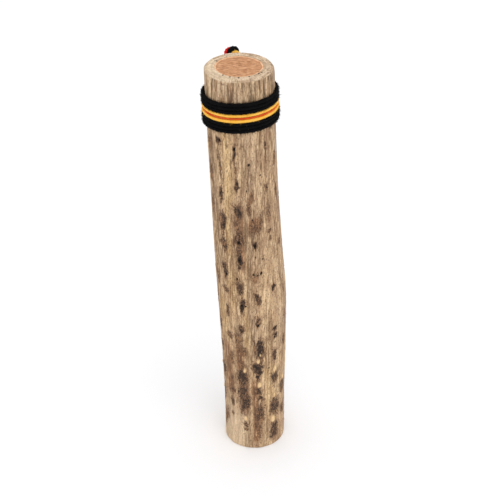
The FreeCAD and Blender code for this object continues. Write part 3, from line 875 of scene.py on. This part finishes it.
def plied_yarn(points, radius, pitch, seed, hairs, hair_r):
    """Vertices and faces of a plied yarn with loose fibres standing off it."""
    rng = np.random.default_rng(seed)
    tangents, sides, ups = frames_along(points)
    run = np.concatenate([[0], np.cumsum(np.linalg.norm(np.diff(points, axis=0), axis=1))])
    phi = TAU * np.arange(YARN_AROUND) / YARN_AROUND
    knots = np.arange(0, run[-1] + 4, 2.0)
    swell = 1 + 0.05 * np.interp(run, knots, rng.uniform(-1, 1, len(knots)))
    twist = TAU * run / pitch
    lobes = 1 - PLY_GROOVE * (1 - np.abs(np.cos(PLIES / 2 * (phi[None] - twist[:, None]))))
    rough = 1 + 0.05 * rng.uniform(-1, 1, lobes.shape)
    radius = np.broadcast_to(radius, (len(points),))
    r = np.minimum(swell[:, None] * lobes * rough, 1.04) * radius[:, None]
    cos, sin = np.cos(phi)[None, :, None], np.sin(phi)[None, :, None]
    body = points[:, None] + r[..., None] * (sides[:, None] * cos + ups[:, None] * sin)
    rows = len(points)
    verts = [body.reshape(-1, 3)]
    faces = ring_faces(rows, YARN_AROUND)
    faces.append(tuple(reversed(range(YARN_AROUND))))
    faces.append(tuple(range((rows - 1) * YARN_AROUND, rows * YARN_AROUND)))
    count = rows * YARN_AROUND
    for _ in range(hairs):
        n = rng.integers(2, rows - 2)
        a = rng.uniform(0, TAU)
        out = sides[n] * math.cos(a) + ups[n] * math.sin(a)
        along = tangents[n] * rng.choice((-1, 1))
        verts.append(loose_fibre(rng, points[n], out, along, radius[n], hair_r))
        faces += ring_faces(4, 3, offset=count)
        faces.append((count + 2, count + 1, count))
        faces.append((count + 9, count + 10, count + 11))
        count += 12
    return np.concatenate(verts), faces


def band_point(angle, offset, yarn_r, lift=0.0):
    """A point on the band's yarn at this angle, offset from the band's middle plane."""
    z = BAND_Z + BAND_TILT_X * np.cos(angle) - BAND_TILT_FRONT * np.sin(angle) + offset
    r = station(z, STATION_R) + OVAL * np.cos(2 * (angle - OVAL_AT))
    r = r + RIB_DEPTH + YARN_STANDOFF + lift + yarn_r
    return np.stack([station(z, STATION_X) + r * np.cos(angle), r * np.sin(angle), z], -1)


def single_turn(offset, radius, lift=0.0):
    """One turn of yarn that starts and ends at the joint behind."""
    gap = math.degrees(JOINT_GAP / float(station(BAND_Z, STATION_R)))
    angles = np.radians(JOINT_DEG + gap / 2 + (360 - gap) * np.linspace(0, 1, 240))
    return band_point(angles, offset, radius, lift)


def black_winding(side):
    """Three turns side by side, stepping outwards one turn's pitch at the crossing behind."""
    degrees = np.linspace(0, 360.0 * BLACK_TURNS - CROSSING_WIDTH_DEG, 720)
    whole = np.floor(degrees / 360)
    t = np.clip((degrees - 360 * whole - (360 - CROSSING_WIDTH_DEG)) / CROSSING_WIDTH_DEG, 0, 1)
    level = whole + t * t * (3 - 2 * t)
    angle = np.radians(CROSSING_DEG + CROSSING_WIDTH_DEG / 2 + degrees)
    return band_point(angle, side * (BLACK_OFFSET + BLACK_PITCH * level), BLACK_YARN_R)


def loop_pivot():
    """The middle of the cord in the ring's lower bend, just outside the back of the band."""
    across = LOOP_X - float(station(BAND_Z, STATION_X))
    angle = math.acos(across / (float(station(BAND_Z, STATION_R)) + 2 * BLACK_YARN_R))
    face = float(band_point(np.array(angle), 0.0, BLACK_YARN_R)[2])
    outside = float(station(face, STATION_R)) + OVAL + RIB_DEPTH + YARN_STANDOFF + 2 * BLACK_YARN_R
    return np.array([LOOP_X, outside + CORD_TO_BAND + CORD_R, face])


def ring_path(s):
    """The cord ring's centre line and tangents, at distances s from its lowest point, and its length."""
    slope = math.asin((LOOP_BEND_R - LOOP_TOP_BEND_R) / LOOP_CENTRES)
    low_arc, top_arc = LOOP_BEND_R * (math.pi / 2 + slope), LOOP_TOP_BEND_R * (math.pi - 2 * slope)
    leg = LOOP_CENTRES * math.cos(slope)
    ends = np.cumsum([low_arc, leg, top_arc, leg, low_arc])
    lower, upper = (LOOP_BEND_R, LOOP_BEND_R), (LOOP_TOP_BEND_R, LOOP_BEND_R + LOOP_CENTRES)
    points, tangents = np.zeros((len(s), 3)), np.zeros((len(s), 3))
    for n, d in enumerate(s):
        part = int(np.searchsorted(ends[:-1], d))
        along = d - (ends[part - 1] if part else 0.0)
        if part in (1, 3):
            sign = 1 if part == 1 else -1
            radius, middle = lower if part == 1 else upper
            way = np.array([-math.sin(slope), 0, sign * math.cos(slope)])
            start = np.array([sign * radius * math.cos(slope), 0, middle + radius * math.sin(slope)])
            points[n], tangents[n] = start + way * along, way
            continue
        radius, middle = upper if part == 2 else lower
        turn = (-math.pi / 2, 0, slope, 0, math.pi - slope)[part] + along / radius
        points[n] = (radius * math.cos(turn), 0, middle + radius * math.sin(turn))
        tangents[n] = (-math.sin(turn), 0, math.cos(turn))
    return points, tangents, ends[-1]


def cord_strand(index):
    """One of three strands that twist round the cord's centre line."""
    length = ring_path(np.zeros(1))[2]
    s = JOINT_GAP / 2 + (length - JOINT_GAP) * np.linspace(0, 1, STRAND_POINTS)
    centre, tangent, _ = ring_path(s)
    twist = STRAND_START + TAU * (STRAND_TWISTS * s / length + index / 3)
    back = np.array([0.0, 1.0, 0.0])
    side = np.cross(tangent, back)
    p = centre + (back * np.cos(twist)[:, None] + side * np.sin(twist)[:, None]) * WOOL_HELIX_R
    c, n = math.cos(-LOOP_LEAN), math.sin(-LOOP_LEAN)
    turned = np.stack([p[:, 0] * c + p[:, 2] * n, p[:, 1], -p[:, 0] * n + p[:, 2] * c], -1)
    return turned + loop_pivot()


def full_at_top(fullest):
    """A strand's radius along the cord: tight in the keeper, and puffed out where the top bend loosens it."""
    length = ring_path(np.zeros(1))[2]
    from_top = length * np.linspace(-0.5, 0.5, STRAND_POINTS) + PUFF_SHIFT
    return KEPT_STRAND_R + (fullest - KEPT_STRAND_R) * np.exp(-((from_top / PUFF_REACH) ** 2))


def keeper_path():
    """A stitch from the upper black yarn, round the cord, to the lower black yarn."""
    reach = CORD_R + CORD_TO_BAND + KEEPER_BITE
    bend = BLACK_OFFSET
    t = np.linspace(math.pi / 2, -math.pi / 2, 40)
    arc = np.stack([np.zeros(40), bend * np.cos(t), bend * np.sin(t)], -1)
    legs = np.linspace(-reach, -0.3, 8)
    top = np.stack([np.zeros(8), legs, np.full(8, bend)], -1)
    bottom = np.stack([np.zeros(8), legs[::-1], np.full(8, -bend)], -1)
    return loop_pivot() + np.concatenate([top, arc, bottom])


def build_yarns():
    """Each yarn's name, path, radius, material, slot, number of loose fibres and pitch of its plies."""
    yellow_paths = [single_turn(side * YELLOW_OFFSET, YELLOW_YARN_R) for side in (1, -1)]
    on_band = (
        ("black_yarn_upper", black_winding(1), BLACK_WOOL_R, BLACK, "black_yarn", 3600, 5.5),
        ("black_yarn_lower", black_winding(-1), BLACK_WOOL_R, BLACK, "black_yarn", 3600, 5.5),
        ("yellow_yarn_upper", yellow_paths[0], YELLOW_WOOL_R, YELLOW, "yellow_yarn", 420, 5.0),
        ("yellow_yarn_lower", yellow_paths[1], YELLOW_WOOL_R, YELLOW, "yellow_yarn", 420, 5.0),
        ("red_yarn", single_turn(0.0, RED_YARN_R, RED_LIFT), RED_WOOL_R, RED, "red_yarn", 260, 3.2),
        ("loop_keeper", keeper_path(), KEEPER_YARN_R, BLACK, "black_yarn", 60, 4.5),
    )
    in_loop = (
        ("loop_strand_black", cord_strand(0), full_at_top(1.75), BLACK, "black_yarn", 240, 4.0),
        ("loop_strand_red", cord_strand(1), full_at_top(1.4), CORD_RED, "red_yarn", 240, 4.0),
        ("loop_strand_yellow", cord_strand(2), full_at_top(1.25), YELLOW, "yellow_yarn", 240, 4.0),
    )
    fibre_share = 1.0
    for n, (name, path, radius, material, slot, fibres, pitch) in enumerate(on_band + in_loop):
        body = "stick" if n < len(on_band) else "hanging_loop"
        hair_r = FELTED_HAIR_R if name.startswith("black_yarn") else HAIR_R
        verts, faces = plied_yarn(path, radius, pitch, 100 + n, int(fibres * fibre_share), hair_r)
        add_object(name + "_wool", verts, faces, material, body, [name])


# ---- pebbles and thorns
def build_pebbles():
    """Each CAD pebble made lumpy: its surface is drawn in or out by a few hundredths of its size."""
    for body, members in frame["record"]["behaviour"]["bodies"].items():
        for node in members:
            if not node.startswith("pebbles"):
                continue
            source = frame["nodes"][node].data
            co = np.zeros(len(source.vertices) * 3)
            source.vertices.foreach_get("co", co)
            co, weld = np.unique((co.reshape(-1, 3) / MM).round(4), axis=0, return_inverse=True)
            weld = weld.ravel()
            faces = [tuple(weld[v] for v in p.vertices) for p in source.polygons]
            faces = [face for face in faces if len(set(face)) == len(face)]
            rng = np.random.default_rng(sum(map(ord, node)))
            shades = np.zeros((len(co), 4))
            for stone in stone_groups(len(co), faces):
                part = co[stone]
                middle = (part.max(0) + part.min(0)) / 2
                arm = part - middle
                size = np.linalg.norm(arm, axis=1)[:, None]
                ways = rng.normal(size=(5, 3))
                wave = np.cos(arm / size @ ways.T * 2.2 + rng.uniform(0, TAU, 5)).mean(1)[:, None]
                co[stone] = middle + arm * (0.965 + 0.05 * wave)
                shades[stone] = rng.uniform()
            add_object(node + "_stone", co, faces, PEBBLE, body, [node], {"shade": shades})


def stone_groups(count, faces):
    """Vertex indices of each separate stone, joined by its faces."""
    parent = list(range(count))

    def find(n):
        while parent[n] != n:
            parent[n] = parent[parent[n]]
            n = parent[n]
        return n

    for face in faces:
        for other in face[1:]:
            parent[find(other)] = find(face[0])
    groups = {}
    for n in range(count):
        groups.setdefault(find(n), []).append(n)
    return [np.array(g) for g in groups.values()]


def dress_cad_nodes():
    """The thorns keep their CAD shape and only get a material."""
    for name, obj in frame["nodes"].items():
        if name.startswith("thorn"):
            obj.data.materials.clear()
            obj.data.materials.append(THORN)


# ---- stage, light and camera
def build_stage():
    """A pale floor, an even white surround, and one broad soft light from above and in front."""
    side = 6.0
    corners = [(-side, -side, 0), (side, -side, 0), (side, side, 0), (-side, side, 0)]
    mesh = bpy.data.meshes.new("floor")
    mesh.from_pydata(corners, [], [(0, 1, 2, 3)])
    floor = bpy.data.objects.new("floor", mesh)
    bpy.context.scene.collection.objects.link(floor)
    s = Shader("floor")
    s.set(Base_Color=srgb(244, 244, 245), Roughness=0.75, Specular_IOR_Level=0.2)
    mesh.materials.append(s.material)

    world = bpy.data.worlds.new("studio")
    world.use_nodes = True
    colour, strength = world.node_tree.nodes["Background"].inputs[:2]
    colour.default_value = (1.0, 1.0, 1.0, 1.0)
    strength.default_value = 1.0
    bpy.context.scene.world = world

    sun = bpy.data.lights.new("softbox", "SUN")
    sun.energy = 0.7
    sun.angle = math.radians(50)
    lamp = bpy.data.objects.new("softbox", sun)
    bpy.context.scene.collection.objects.link(lamp)
    lamp.rotation_mode = "QUATERNION"
    lamp.rotation_quaternion = Vector((-0.2, 0.6, -1.0)).to_track_quat("-Z", "Y")


def build_camera():
    """The photo's view: from in front and above, looking down at the middle of the stick."""
    camera = bpy.data.cameras.new("camera")
    camera.lens = CAMERA_LENS
    obj = bpy.data.objects.new("camera", camera)
    bpy.context.scene.collection.objects.link(obj)
    obj.location = [c * MM for c in CAMERA_AT]
    obj.rotation_euler = (math.radians(90 - CAMERA_DOWN_DEG), 0, 0)
    bpy.context.scene.camera = obj


build_stem()
build_plug("top_plug_wood", True)
build_plug("foot_plug_wood", False)
build_glue("top_glue_bead", True)
build_glue("foot_glue_bead", False)
build_yarns()
build_pebbles()
dress_cad_nodes()
build_stage()
build_camera()
bpy.context.scene.view_settings.view_transform = "Standard"
